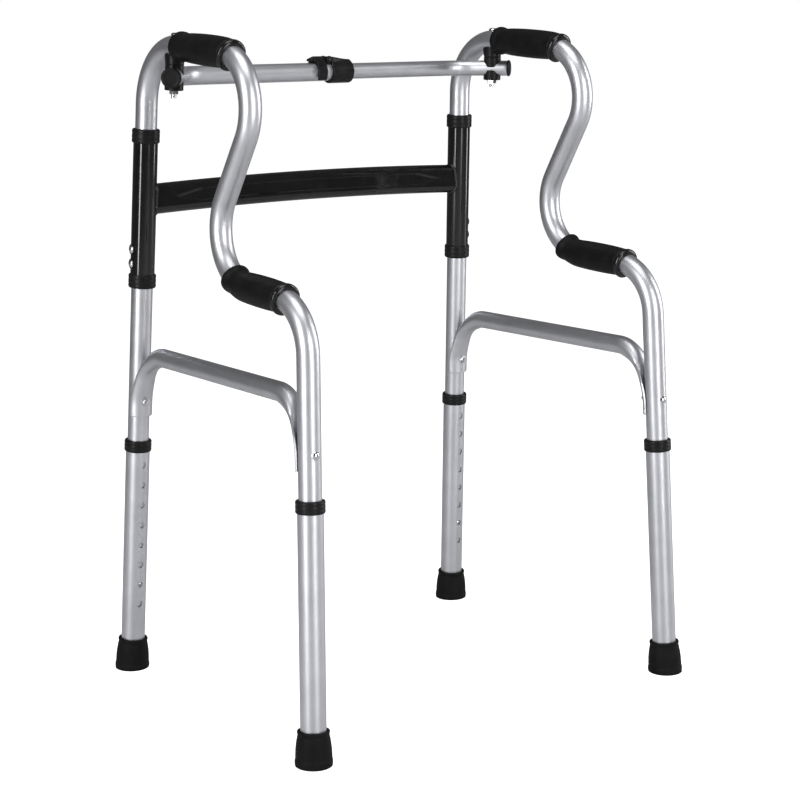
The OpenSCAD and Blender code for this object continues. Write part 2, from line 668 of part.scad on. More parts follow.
// Rubber foot: flared boot with a rim at its mouth and a lip at the floor
module foot(side, is_rear) color([0.07, 0.07, 0.07]) difference() {
    base = leg_r + foot_flare;
    mouth = base - 2.9;
    on_leg(side, is_rear) difference() {
        translate([0, 0, -4]) rotate_extrude() polygon([
            [0, 0], [base, 0], [base, 6.5], [base - 0.7, 7.5], [base - 0.7, 18],
            [base - 1.4, 24], [mouth - 0.5, foot_h], [mouth, foot_h + 1.4],
            [mouth, foot_h + 3], [mouth - 1.2, foot_h + 4], [0, foot_h + 4]]);
        translate([0, 0, 6 - seat_gap]) cylinder(r = leg_r + seat_gap, h = foot_h);
        for (ring = [base - 5, base - 11]) translate([0, 0, -5]) difference() {
            cylinder(r = ring, h = 6.2);
            translate([0, 0, -1]) cylinder(r = ring - 2, h = 9);
        }
    }
    translate([-track, -reach, -40]) cube([2 * track, 2 * reach, 40]);
}

// Steel dome that snaps into a height hole, with the leaf that carries it
module button(side, is_rear) color([0.75, 0.76, 0.78]) on_leg(side, is_rear)
    translate([0, 0, button_height]) rotate([90, 0, 0]) {
        translate([0, 0, flange_out - flange_h]) cylinder(r = flange_r, h = flange_h);
        translate([0, 0, flange_out - 0.5]) cylinder(r = button_r, h = button_top - 2 - flange_out + 0.5);
        translate([0, 0, button_top - 2]) dome_head(button_r, 2);
        translate([-leaf_w / 2, 0, flange_out - flange_h - leaf_t]) cube([leaf_w, leaf_h, leaf_t + 0.1]);
    }

// Bent leaf spring: one leg on the tube's far wall, its bend above the button's leaf
module spring(side, is_rear) color([0.6, 0.61, 0.63]) on_leg(side, is_rear)
    translate([-leaf_w / 2, 0, button_height]) {
        back = sqrt(bore_r * bore_r - leaf_w * leaf_w / 4) - seat_gap;
        turn_r = 7;
        bend_z = leaf_h + turn_r;
        translate([0, back - leaf_t, -12]) cube([leaf_w, leaf_t, bend_z + 12]);
        translate([0, back - turn_r, bend_z]) rotate([90, 0, 90])
            rotate_extrude(angle = 180) translate([turn_r - leaf_t, 0]) square([leaf_t, leaf_w]);
        translate([0, back - 2 * turn_r, leaf_h + 0.4]) cube([leaf_w, leaf_t, turn_r - 0.4]);
    }

cross_brace();
upper_collar(left);  // upper_collar_left
upper_collar(right);  // upper_collar_right
lower_collar(left);  // lower_collar_left
lower_collar(right);  // lower_collar_right
stop_rivets();
stop_washers();
side_tube(left);  // side_tube_left
side_tube(right);  // side_tube_right
top_grip(left);  // top_grip_left
top_grip(right);  // top_grip_right
lower_grip(left);  // lower_grip_left
lower_grip(right);  // lower_grip_right
side_rail(left);  // side_rail_left
side_rail(right);  // side_rail_right
rail_bolts(left);  // rail_bolts_left
rail_bolts(right);  // rail_bolts_right
rail_nuts(left);  // rail_nuts_left
rail_nuts(right);  // rail_nuts_right
tube_saddle(left);  // tube_saddle_left
tube_saddle(right);  // tube_saddle_right
pivot_bolt(left);  // pivot_bolt_left
pivot_bolt(right);  // pivot_bolt_right
pivot_nut(left);  // pivot_nut_left
pivot_nut(right);  // pivot_nut_right
bar_outer_tube();
bar_plug(left, outer_r);  // bar_outer_plug
bar_cradle(left, outer_r);  // bar_cradle_left
bar_keeper(left, outer_r);  // bar_keeper_left
lock_body();
lock_hinge_pin();
lock_lever();
lock_peg();
bar_inner_tube();
bar_plug(right, inner_r);  // bar_inner_plug
bar_cradle(right, inner_r);  // bar_cradle_right
bar_keeper(right, inner_r);  // bar_keeper_right
leg_tube(left, false);  // leg_front_left
leg_tube(right, false);  // leg_front_right
leg_tube(left, true);  // leg_rear_left
leg_tube(right, true);  // leg_rear_right
leg_collar(left, false);  // leg_collar_front_left
leg_collar(right, false);  // leg_collar_front_right
leg_collar(left, true);  // leg_collar_rear_left
leg_collar(right, true);  // leg_collar_rear_right
foot(left, false);  // foot_front_left
foot(right, false);  // foot_front_right
foot(left, true);  // foot_rear_left
foot(right, true);  // foot_rear_right
button(left, false);  // button_front_left
button(right, false);  // button_front_right
button(left, true);  // button_rear_left
button(right, true);  // button_rear_right
spring(left, false);  // spring_front_left
spring(right, false);  // spring_front_right
spring(left, true);  // spring_rear_left
spring(right, true);  // spring_rear_right
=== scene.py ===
# %% [markdown]
# # A folding two-tier walking frame
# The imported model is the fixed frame. It gives every bolt, leg and pivot its place, so
# this lesson only adds what the eye needs: smooth bent tube, moulded grips, rubber feet
# and the finish of each material. Sizes are in metres.

# %% Load the frame
import json
import math

import bmesh
import bpy
import numpy as np
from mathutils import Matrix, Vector


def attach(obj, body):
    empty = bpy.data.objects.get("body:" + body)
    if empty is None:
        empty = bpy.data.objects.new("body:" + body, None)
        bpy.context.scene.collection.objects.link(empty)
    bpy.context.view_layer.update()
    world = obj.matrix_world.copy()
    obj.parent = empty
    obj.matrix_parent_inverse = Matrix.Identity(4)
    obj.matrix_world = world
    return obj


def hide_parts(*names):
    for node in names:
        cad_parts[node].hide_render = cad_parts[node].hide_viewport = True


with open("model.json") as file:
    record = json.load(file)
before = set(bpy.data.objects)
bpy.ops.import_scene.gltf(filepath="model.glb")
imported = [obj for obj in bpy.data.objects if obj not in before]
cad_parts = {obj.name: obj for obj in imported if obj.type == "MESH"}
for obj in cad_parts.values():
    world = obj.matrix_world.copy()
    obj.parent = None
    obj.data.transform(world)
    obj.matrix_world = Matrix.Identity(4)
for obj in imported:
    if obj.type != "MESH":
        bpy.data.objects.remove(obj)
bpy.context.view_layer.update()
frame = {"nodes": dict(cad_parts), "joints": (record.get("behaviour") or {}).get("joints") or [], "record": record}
joints = {joint["name"]: joint for joint in frame["joints"]}
mounts = {mount["name"]: mount for mount in frame["record"]["mounts"]}
MM = 0.001
print("CAD nodes:", len(frame["nodes"]), "joints:", len(joints))

# %% [markdown]
# A photographer's long lens flattens the frame a little. The camera stands behind the
# user and to the left, just above the top grips, and looks slightly down. It comes first,
# because every later choice of size is judged through it.

# %% Camera
LENS_ANGLE = 21.94
CAMERA_PLACE = Vector((-1.4450, -1.9431, 0.8100))
CAMERA_YAW, CAMERA_PITCH, CAMERA_ROLL = 36.86, 11.06, 0.16

camera_data = bpy.data.cameras.new("camera")
camera_data.sensor_width = 36.0
camera_data.lens = 18.0 / math.tan(math.radians(LENS_ANGLE / 2))
camera = bpy.data.objects.new("camera", camera_data)
camera.rotation_mode = "XYZ"
camera.location = CAMERA_PLACE
camera.rotation_euler = (math.radians(90 - CAMERA_PITCH), math.radians(CAMERA_ROLL),
                         -math.radians(CAMERA_YAW))
bpy.context.scene.collection.objects.link(camera)
bpy.context.scene.camera = camera
print("lens", round(camera_data.lens, 1), "mm")

# %% [markdown]
# The frame stands in front of plain white, which only the camera sees. As a light and in
# reflections the world is a dark grey, so that anodised tube keeps dark edges and the
# black parts stay black. Tall soft boxes draw the long streaks down the tubes.

# %% Studio
bpy.context.scene.view_settings.view_transform = "Standard"
WORLD_LIGHT = 0.15


def studio_world():
    """Full white for the camera and through clear parts, a dark grey for the rest."""
    world = bpy.data.worlds.new("studio")
    bpy.context.scene.world = world
    world.use_nodes = True
    tree = world.node_tree
    tree.nodes.clear()
    path = tree.nodes.new("ShaderNodeLightPath")
    seen = tree.nodes.new("ShaderNodeMath")
    seen.operation = "MAXIMUM"
    tree.links.new(path.outputs["Is Camera Ray"], seen.inputs[0])
    tree.links.new(path.outputs["Is Transmission Ray"], seen.inputs[1])
    mix = tree.nodes.new("ShaderNodeMixShader")
    tree.links.new(seen.outputs[0], mix.inputs[0])
    for slot_number, strength in ((1, WORLD_LIGHT), (2, 1.0)):
        light = tree.nodes.new("ShaderNodeBackground")
        light.inputs["Color"].default_value = (1, 1, 1, 1)
        light.inputs["Strength"].default_value = strength
        tree.links.new(light.outputs[0], mix.inputs[slot_number])
    out = tree.nodes.new("ShaderNodeOutputWorld")
    tree.links.new(mix.outputs[0], out.inputs["Surface"])


def soft_box(name, place, target, width, height, power):
    """A rectangular lamp that faces the target."""
    data = bpy.data.lights.new(name, "AREA")
    data.shape = "RECTANGLE"
    data.size, data.size_y, data.energy = width, height, power
    lamp = bpy.data.objects.new(name, data)
    lamp.location = place
    aim = Vector(target) - Vector(place)
    lamp.rotation_euler = aim.to_track_quat("-Z", "Y").to_euler()
    bpy.context.scene.collection.objects.link(lamp)


studio_world()
MIDDLE = (0.0, 0.0, 0.40)
soft_box("soft_box_left", (-2.7, -0.6, 1.1), MIDDLE, 0.45, 2.4, 58)
soft_box("soft_box_front", (-0.2, -3.0, 1.1), MIDDLE, 0.45, 2.4, 50)
soft_box("soft_box_right", (2.6, -1.2, 1.2), MIDDLE, 0.5, 2.4, 40)
soft_box("soft_box_top", (-0.3, -0.4, 2.8), MIDDLE, 1.4, 1.4, 26)

FLOOR_HALF = 12.0
floor_mesh = bpy.data.meshes.new("floor")
floor_mesh.from_pydata([(-FLOOR_HALF, -FLOOR_HALF, 0), (FLOOR_HALF, -FLOOR_HALF, 0),
                        (FLOOR_HALF, FLOOR_HALF, 0), (-FLOOR_HALF, FLOOR_HALF, 0)], [],
                       [(0, 1, 2, 3)])
floor = bpy.data.objects.new("floor", floor_mesh)
bpy.context.scene.collection.objects.link(floor)
print("studio ready")

# %% [markdown]
# Each of the four legs has its own straight axis. The frame tells where each one meets
# the floor, which way it slides and which way its snap button is pressed. Those three
# give a small set of axes for everything that is turned round that leg.

# %% Leg axes
def unit(v):
    v = np.asarray(v, float)
    return v / np.linalg.norm(v)


class Axis:
    """A line with three square directions: along it, towards the button's back, across."""

    def __init__(self, origin, along, forward):
        self.origin = np.asarray(origin, float)
        self.along = unit(along)
        self.forward = unit(np.asarray(forward) - np.dot(forward, self.along) * self.along)
        self.across = np.cross(self.forward, self.along)

    def points(self, across, forward, along):
        return (self.origin + np.multiply.outer(across, self.across)
                + np.multiply.outer(forward, self.forward)
                + np.multiply.outer(along, self.along))


def vertices_of(node):
    """Points of a CAD node's mesh, in metres."""
    mesh = frame["nodes"][node].data
    co = np.zeros(len(mesh.vertices) * 3)
    mesh.vertices.foreach_get("co", co)
    return co.reshape(-1, 3)


def span(node, axis):
    """Lowest and highest place of a CAD node along an axis."""
    h = (vertices_of(node) - axis.origin) @ axis.along
    return h.min(), h.max()


SIDES = ("left", "right")
legs = {}
for end in ("front", "rear"):
    for side in SIDES:
        legs[end, side] = Axis(mounts[f"{end}_{side}_sole"]["pos_m"],
                               -np.array(joints[f"{end}_{side}_height"]["axis"]),
                               joints[f"{end}_{side}_press"]["axis"])
for key, axis in legs.items():
    print(key, "foot at", np.round(axis.origin, 3), "leans", np.round(axis.along, 3))

# %% [markdown]
# One function puts any grid of points into a mesh. Rows run along a piece and columns run
# round it. The last column joins the first, rows whose points meet in one place close as
# poles, and the winding is turned over if the enclosed volume comes out negative, so
# faces always point outwards. The piece also gets a UV map in metres, round and along,
# which drawn metal and moulded grain can follow round every bend.

# %% From grid to mesh
SAME_PLACE, NO_LENGTH = 1e-6, 1e-7


def signed_volume(grid):
    """Sum over all quads of the corner's triple product, which is six times the volume."""
    a, b = grid, np.roll(grid, -1, axis=1)
    p, q, r, s = a[:-1], b[:-1], b[1:], a[1:]
    return (np.einsum("ijk,ijk->", p, np.cross(q, r))
            + np.einsum("ijk,ijk->", p, np.cross(r, s))) / 6


def surface(name, grid, body, material, replaces=(), ring=False, sharp=35):
    """A closed mesh from a grid of rows and columns. With ring the last row joins the
    first; without it the first and last row must each shrink to a pole."""
    rows, columns = grid.shape[:2]
    if ring:
        grid = np.concatenate([grid, grid[:1]])
    if signed_volume(grid) < 0:
        grid = grid[:, ::-1]
    i, j = np.meshgrid(np.arange(len(grid) - 1), np.arange(columns), indexing="ij")
    down = (i + 1) % rows if ring else i + 1
    beside = (j + 1) % columns
    corners = np.stack([i * columns + j, i * columns + beside,
                        down * columns + beside, down * columns + j], -1).reshape(-1, 4)
    points = grid[:rows].reshape(-1, 3)
    mesh = bpy.data.meshes.new(name)
    mesh.vertices.add(len(points))
    mesh.vertices.foreach_set("co", points.ravel())
    mesh.loops.add(corners.size)
    mesh.loops.foreach_set("vertex_index", corners.ravel().astype(np.int32))
    mesh.polygons.add(len(corners))
    mesh.polygons.foreach_set("loop_start", np.arange(0, corners.size, 4, dtype=np.int32))
    centre = grid.mean(axis=1)
    radius = np.linalg.norm(grid - centre[:, None], axis=2).mean(axis=1)
    steps = np.linalg.norm(np.diff(centre, axis=0), axis=1) + np.abs(np.diff(radius))
    along = np.concatenate([[0], np.cumsum(steps)])
    girth = np.linalg.norm(np.diff(grid, axis=1, append=grid[:, :1]), axis=2).sum(axis=1)
    width = girth.max() / columns
    u = np.stack([j, j + 1, j + 1, j], -1).reshape(-1) * width
    v = np.stack([along[i], along[i], along[i + 1], along[i + 1]], -1).reshape(-1)
    layer = mesh.uv_layers.new(name="flow")
    layer.data.foreach_set("uv", np.stack([u, v], -1).ravel())
    mesh.update(calc_edges=True)
    mesh.validate()
    work = bmesh.new()
    work.from_mesh(mesh)
    bmesh.ops.remove_doubles(work, verts=work.verts, dist=SAME_PLACE)
    bmesh.ops.dissolve_degenerate(work, edges=work.edges, dist=NO_LENGTH)
    work.to_mesh(mesh)
    work.free()
    mesh.shade_smooth()
    mesh.set_sharp_from_angle(angle=math.radians(sharp))
    piece = bpy.data.objects.new(name, mesh)
    bpy.context.scene.collection.objects.link(piece)
    mesh.materials.append(material)
    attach(piece, body)
    if replaces:
        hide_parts(*replaces)
    print(name, len(mesh.polygons), "faces")


# %% [markdown]
# Bent tube is straight runs and true arcs. A path keeps its corners and bend radii in
# the plane that it lies in, and gives back a centre line with its heading at any distance
# along it.

# %% Paths
ARC_STEP = 0.01


class Path:
    """Centre line through corners in a plane, each corner rounded by an arc."""

    def __init__(self, corners, radii, origin, right, up):
        corner = np.array(corners, float)
        step = np.diff(corner, axis=0)
        heading = np.unwrap(np.arctan2(step[:, 1], step[:, 0]))
        places, headings, marks = [corner[0]], [heading[0]], []
        for k, radius in enumerate(radii, start=1):
            turn = heading[k] - heading[k - 1]
            hand = np.sign(turn)
            toward = np.array([math.cos(heading[k - 1]), math.sin(heading[k - 1])])
            left = np.array([-toward[1], toward[0]])
            start = corner[k] - toward * radius * math.tan(abs(turn) / 2)
            centre = start + hand * radius * left
            h = heading[k - 1] + turn * np.linspace(0, 1, max(int(abs(turn) / ARC_STEP), 2))
            arc = centre + hand * radius * np.stack([np.sin(h), -np.cos(h)], -1)
            marks.append((len(places), len(places) + len(h) - 1))
            places.extend(arc)
            headings.extend(h)
        places.append(corner[-1])
        headings.append(heading[-1])
        self.place = np.array(places)
        self.heading = np.array(headings)
        self.s = np.concatenate([[0], np.cumsum(
            np.linalg.norm(np.diff(self.place, axis=0), axis=1))])
        self.bends = [(self.s[a], self.s[b]) for a, b in marks]
        self.origin, self.right, self.up = (np.asarray(v, float) for v in (origin, right, up))
        self.out = np.cross(self.right, self.up)
        self.length = self.s[-1]

    def at(self, s):
        """Centre, left-hand normal and plane normal at distances s along the path."""
        s = np.asarray(s, float)
        x = np.interp(s, self.s, self.place[:, 0])
        y = np.interp(s, self.s, self.place[:, 1])
        h = np.interp(s, self.s, self.heading)
        before, after = np.minimum(s, 0), np.maximum(s - self.length, 0)
        x = x + (before + after) * np.cos(h)
        y = y + (before + after) * np.sin(h)
        centre = self.origin + np.outer(x, self.right) + np.outer(y, self.up)
        normal = np.outer(-np.sin(h), self.right) + np.outer(np.cos(h), self.up)
        return centre, normal, np.broadcast_to(self.out, centre.shape)


def round_columns(count):
    """Even angles once round a circle, the last one short of the first."""
    return np.linspace(0, 2 * np.pi, count, endpoint=False)


def carried(path, s, radius, columns=48, flatten=None):
    """Circles of the given radii carried along a path: centre + r(cos t normal + sin t out).
    flatten scales the first of the two, for a tube that a bend has pressed oval."""
    centre, normal, out = path.at(s)
    t = round_columns(columns)
    r = np.asarray(radius, float)[:, None, None]
    f = np.ones(len(r))[:, None, None] if flatten is None else np.asarray(flatten)[:, None, None]
    return (centre[:, None] + r * (f * np.cos(t)[None, :, None] * normal[:, None]
                                   + np.sin(t)[None, :, None] * out[:, None]))


def turned(axis, height, radius, columns=64):
    """A profile of heights and radii turned once round an axis."""
    t = round_columns(columns)
    h, r = np.asarray(height, float), np.asarray(radius, float)
    return axis.points(np.outer(r, np.cos(t)), np.outer(r, np.sin(t)),
                       np.repeat(h[:, None], columns, axis=1))


def rounded(profile, radius=0.0005, steps=4):
    """Rounds each inner corner of a profile with a short quadratic curve."""
    p = np.array(profile, float)
    out = [p[0]]
    for a, b, c in zip(p[:-2], p[1:-1], p[2:]):
        r = min(radius, 0.45 * np.linalg.norm(b - a), 0.45 * np.linalg.norm(c - b))
        start, stop = b + r * unit(a - b), b + r * unit(c - b)
        t = np.linspace(0, 1, steps)[:, None]
        out.extend((1 - t) ** 2 * start + 2 * t * (1 - t) * b + t ** 2 * stop)
    out.append(p[-1])
    return np.array(out)


print("path tools ready")

# %% [markdown]
# ## Finishes
# Two small node groups carry what several materials share. `drawn_lines` is the fine
# streaking that drawing and anodising leave along a tube. `moulded_skin` is the faint
# pebbled skin of moulded plastic and rubber. Both put out only values, and the shader
# itself stays in each material.

# %% Shared node groups
LINES_ACROSS, LINES_ALONG, LINE_CLOUD, SKIN_CLOUD = 2600, 26, 35, 60


def new_group(name, inputs, outputs):
    group = bpy.data.node_groups.new(name, "ShaderNodeTree")
    for label, kind, value in inputs:
        socket = group.interface.new_socket(label, in_out="INPUT", socket_type=kind)
        if value is not None:
            socket.default_value = value
    for label, kind in outputs:
        group.interface.new_socket(label, in_out="OUTPUT", socket_type=kind)
    return group, group.nodes.new("NodeGroupInput"), group.nodes.new("NodeGroupOutput")


def noise_node(tree, scale, detail, roughness=0.5):
    node = tree.nodes.new("ShaderNodeTexNoise")
    node.inputs["Scale"].default_value = scale
    node.inputs["Detail"].default_value = detail
    node.inputs["Roughness"].default_value = roughness
    return node


def ramp_between(tree, value, low, high):
    """Spreads the middle of a 0..1 value between two numbers or sockets."""
    node = tree.nodes.new("ShaderNodeMapRange")
    tree.links.new(value, node.inputs["Value"])
    for label, bound in (("To Min", low), ("To Max", high)):
        if isinstance(bound, (int, float)):
            node.inputs[label].default_value = bound
        else:
            tree.links.new(bound, node.inputs[label])
    node.inputs["From Min"].default_value = 0.3
    node.inputs["From Max"].default_value = 0.7
    return node.outputs["Result"]


def drawn_lines_group():
    """Noise stretched a hundredfold along the second coordinate, and a broad cloud."""
    group, gin, gout = new_group(
        "drawn_lines",
        [("Vector", "NodeSocketVector", None), ("Smooth", "NodeSocketFloat", 0.3),
         ("Rough", "NodeSocketFloat", 0.4), ("Pale", "NodeSocketColor", (0.8, 0.8, 0.8, 1)),
         ("Dull", "NodeSocketColor", (0.7, 0.7, 0.7, 1))],
        [("Color", "NodeSocketColor"), ("Roughness", "NodeSocketFloat"),
         ("Height", "NodeSocketFloat")])
    stretch = group.nodes.new("ShaderNodeMapping")
    stretch.inputs["Scale"].default_value = (LINES_ACROSS, LINES_ALONG, LINES_ACROSS)
    group.links.new(gin.outputs["Vector"], stretch.inputs["Vector"])
    lines = noise_node(group, 1, 3, 0.6)
    group.links.new(stretch.outputs[0], lines.inputs["Vector"])
    cloud = noise_node(group, LINE_CLOUD, 4)
    group.links.new(gin.outputs["Vector"], cloud.inputs["Vector"])
    rough = ramp_between(group, lines.outputs["Fac"], gin.outputs["Smooth"], gin.outputs["Rough"])
    group.links.new(rough, gout.inputs["Roughness"])
    tint = group.nodes.new("ShaderNodeMix")
    tint.data_type = "RGBA"
    group.links.new(ramp_between(group, cloud.outputs["Fac"], 0.0, 1.0), tint.inputs["Factor"])
    group.links.new(gin.outputs["Pale"], tint.inputs["A"])
    group.links.new(gin.outputs["Dull"], tint.inputs["B"])
    group.links.new(tint.outputs["Result"], gout.inputs["Color"])
    group.links.new(lines.outputs["Fac"], gout.inputs["Height"])
    return group


def moulded_skin_group():
    """Fine pebbles from a cell pattern, over a broad cloud that shifts the sheen."""
    group, gin, gout = new_group(
        "moulded_skin",
        [("Vector", "NodeSocketVector", None), ("Pebbles", "NodeSocketFloat", 1400.0),
         ("Smooth", "NodeSocketFloat", 0.3), ("Rough", "NodeSocketFloat", 0.5),
         ("Dark", "NodeSocketColor", (0.01, 0.01, 0.01, 1)),
         ("Worn", "NodeSocketColor", (0.03, 0.03, 0.03, 1))],
        [("Color", "NodeSocketColor"), ("Roughness", "NodeSocketFloat"),
         ("Height", "NodeSocketFloat")])
    cells = group.nodes.new("ShaderNodeTexVoronoi")
    cells.feature = "SMOOTH_F1"
    group.links.new(gin.outputs["Pebbles"], cells.inputs["Scale"])
    group.links.new(gin.outputs["Vector"], cells.inputs["Vector"])
    cloud = noise_node(group, SKIN_CLOUD, 5, 0.6)
    group.links.new(gin.outputs["Vector"], cloud.inputs["Vector"])
    rough = ramp_between(group, cloud.outputs["Fac"], gin.outputs["Smooth"], gin.outputs["Rough"])
    group.links.new(rough, gout.inputs["Roughness"])
    tint = group.nodes.new("ShaderNodeMix")
    tint.data_type = "RGBA"
    group.links.new(ramp_between(group, cloud.outputs["Fac"], 0.0, 1.0), tint.inputs["Factor"])
    group.links.new(gin.outputs["Dark"], tint.inputs["A"])
    group.links.new(gin.outputs["Worn"], tint.inputs["B"])
    group.links.new(tint.outputs["Result"], gout.inputs["Color"])
    group.links.new(cells.outputs["Distance"], gout.inputs["Height"])
    return group


drawn_lines = drawn_lines_group()
moulded_skin = moulded_skin_group()
print("node groups:", drawn_lines.name, moulded_skin.name)

# %% [markdown]
# Each material places one of the groups with its own values. Pieces made here carry their
# own UV map, so the drawn lines follow each bend. The CAD legs are straight and nearly
# upright, so their lines can come from Object coordinates, turned so that the stretched
# axis is the upright one.

# %% Materials
COAT_ROUGHNESS = 0.08
FLOOR_TONE, FLOOR_GLOW, FLOOR_ROUGHNESS = 0.62, 0.95, 0.9


def finish(name, group, values, metallic, bump, coordinates, coat=0.0, turn=False,
           shine=0.5):
    """A Principled surface whose colour, roughness and bump come from one shared group."""
    material = bpy.data.materials.new(name)
    material.use_nodes = True
    tree = material.node_tree
    shader = tree.nodes["Principled BSDF"]
    shader.inputs["Metallic"].default_value = metallic
    shader.inputs["Specular IOR Level"].default_value = shine
    shader.inputs["Coat Weight"].default_value = coat
    shader.inputs["Coat Roughness"].default_value = COAT_ROUGHNESS
    place = tree.nodes.new("ShaderNodeTexCoord")
    effect = tree.nodes.new("ShaderNodeGroup")
    effect.node_tree = group
    for label, value in values.items():
        effect.inputs[label].default_value = value
    source = place.outputs[coordinates]
    if turn:
        mapping = tree.nodes.new("ShaderNodeMapping")
        mapping.inputs["Rotation"].default_value = (math.radians(90), 0, 0)
        tree.links.new(source, mapping.inputs["Vector"])
        source = mapping.outputs[0]
    tree.links.new(source, effect.inputs["Vector"])
    tree.links.new(effect.outputs["Color"], shader.inputs["Base Color"])
    tree.links.new(effect.outputs["Roughness"], shader.inputs["Roughness"])
    relief = tree.nodes.new("ShaderNodeBump")
    relief.inputs["Strength"].default_value = bump[0]
    relief.inputs["Distance"].default_value = bump[1]
    tree.links.new(effect.outputs["Height"], relief.inputs["Height"])
    tree.links.new(relief.outputs["Normal"], shader.inputs["Normal"])
    return material


def grey(value, blue=1.0):
    """A grey with its blue scaled, and its green moved by a fifth as much."""
    return (value, value * (0.8 + 0.2 * blue), value * blue, 1)


ANODISED = {"Smooth": 0.36, "Rough": 0.46, "Pale": grey(0.60, 1.07), "Dull": grey(0.54, 1.07)}
tube_finish = finish("anodised_tube", drawn_lines, ANODISED, 1.0, (0.04, 0.00005), "UV")
leg_finish = finish("anodised_leg", drawn_lines, ANODISED, 1.0, (0.04, 0.00005), "Object",
                    turn=True)
steel_finish = finish("plated_steel", moulded_skin,
                      {"Pebbles": 500.0, "Smooth": 0.10, "Rough": 0.22,
                       "Dark": grey(0.50, 1.04), "Worn": grey(0.66, 1.04)},
                      1.0, (0.02, 0.00002), "Object")
spring_finish = finish("spring_steel", moulded_skin,
                       {"Pebbles": 700.0, "Smooth": 0.25, "Rough": 0.4,
                        "Dark": grey(0.35), "Worn": grey(0.45)}, 1.0, (0.05, 0.00003), "Object")
coat_finish = finish("black_powder_coat", moulded_skin,
                     {"Pebbles": 900.0, "Smooth": 0.10, "Rough": 0.20, "Dark": grey(0.004),
                      "Worn": grey(0.006)}, 0.0, (0.05, 0.00006), "Object", coat=0.3,
                     shine=0.3)
collar_finish = finish("collar_plastic", moulded_skin,
                       {"Pebbles": 1800.0, "Smooth": 0.30, "Rough": 0.42,
                        "Dark": grey(0.005, 1.05), "Worn": grey(0.009, 1.05)},
                       0.0, (0.10, 0.00005), "Object", shine=0.18)
saddle_finish = finish("saddle_plastic", moulded_skin,
                       {"Pebbles": 1600.0, "Smooth": 0.30, "Rough": 0.45,
                        "Dark": grey(0.005, 1.05), "Worn": grey(0.009, 1.05)},
                       0.0, (0.14, 0.00006), "Object", shine=0.18)
grip_finish = finish("grip_vinyl", moulded_skin,
                     {"Pebbles": 1300.0, "Smooth": 0.42, "Rough": 0.55,
                      "Dark": grey(0.004), "Worn": grey(0.008)}, 0.0, (0.35, 0.00012), "Object",
                     shine=0.10)
ring_finish = finish("grip_ring_vinyl", moulded_skin,
                     {"Pebbles": 900.0, "Smooth": 0.16, "Rough": 0.24,
                      "Dark": grey(0.004), "Worn": grey(0.006)}, 0.0, (0.05, 0.00005), "Object",
                     shine=0.4)
rubber_finish = finish("foot_rubber", moulded_skin,
                       {"Pebbles": 1100.0, "Smooth": 0.50, "Rough": 0.66,
                        "Dark": grey(0.005), "Worn": grey(0.010)}, 0.0, (0.30, 0.0001), "Object",
                       shine=0.06)


def floor_finish():
    """A pale floor that glows for the camera alone, so that it meets the white behind it
    and still takes a soft shadow."""
    material = bpy.data.materials.new("studio_floor")
    material.use_nodes = True
    tree = material.node_tree
    shader = tree.nodes["Principled BSDF"]
    shader.inputs["Base Color"].default_value = grey(FLOOR_TONE)
    shader.inputs["Roughness"].default_value = FLOOR_ROUGHNESS
    shader.inputs["Specular IOR Level"].default_value = 0.0
    shader.inputs["Emission Color"].default_value = grey(FLOOR_GLOW)
    path = tree.nodes.new("ShaderNodeLightPath")
    tree.links.new(path.outputs["Is Camera Ray"], shader.inputs["Emission Strength"])
    return material


floor_mesh.materials.append(floor_finish())
print("materials:", len(bpy.data.materials))

# %% [markdown]
# ## Side tubes
# On the real frame one tube makes the front leg, both grip lines and the rear leg. A hand
# could build it from cylinders and tori, but then the seams catch the light. Here one
# circle is carried along one path, and each bend presses it slightly oval, as a bender
# does.

# %% Side tube paths
TUBE_R = 12.7 * MM
TOP_HEIGHT, LOWER_HEIGHT, GRIP_RISE = 760.5 * MM, 512 * MM, math.tan(math.radians(0.6))
TOP_CORNER, LOWER_CORNER = 272 * MM, 135 * MM
FRONT_BEND, BEND = 70 * MM, 60 * MM
REACH, LEG_ANGLE = 412 * MM, math.radians(5.98)


def side_axes(side):
    """Directions behind and up in the plane of one side frame."""
    axis = legs["front", side]
    return axis.origin, -axis.forward, axis.along


def rear_line(side):
    """Where the rear leg's axis meets the floor in its side frame's plane, and its slope."""
    origin, behind, up = side_axes(side)
    rear = legs["rear", side]
    foot = rear.origin - origin
    return (np.array([foot @ behind, foot @ up]),
            unit(np.array([rear.along @ behind, rear.along @ up])))


def rear_place(side, height, in_front=0.0):
    """A point a height up the rear leg's axis and a distance in front of it."""
    foot, slope = rear_line(side)
    return foot + height * slope + in_front * np.array([-slope[1], slope[0]])


def rear_at(side, level):
    """The rear leg's axis at a level of the side frame."""
    foot, slope = rear_line(side)
    return foot + slope * (level - foot[1]) / slope[1]


def side_path(side):
    """Centre line of one side tube, from the front leg's end to the rear leg's end."""
    origin, behind, up = side_axes(side)
    tube_end = span(f"side_tube_{side}", legs["front", side])[0]
    low = [LOWER_CORNER, LOWER_HEIGHT + LOWER_CORNER * GRIP_RISE]
    level = LOWER_HEIGHT + (REACH - LOWER_HEIGHT * math.tan(LEG_ANGLE)) * GRIP_RISE
    corners = [[0, tube_end], [0, TOP_HEIGHT],
               [TOP_CORNER, TOP_HEIGHT + TOP_CORNER * GRIP_RISE], low,
               list(rear_at(side, level)), list(rear_place(side, tube_end))]
    return Path(corners, [FRONT_BEND, BEND, BEND, BEND], origin, behind, up)


paths = {side: side_path(side) for side in SIDES}
print("side tube length", round(paths["left"].length, 3), "m")


def oval_in_bends(path, s, most=0.02, ease=0.012):
    """1 on straights and 1 - most inside bends, with an eased change between them."""
    flat = np.ones(len(s))
    for start, stop in path.bends:
        inside = np.clip((s - start + ease) / (2 * ease), 0, 1) * np.clip(
            (stop - s + ease) / (2 * ease), 0, 1)
        flat -= most * inside
    return flat


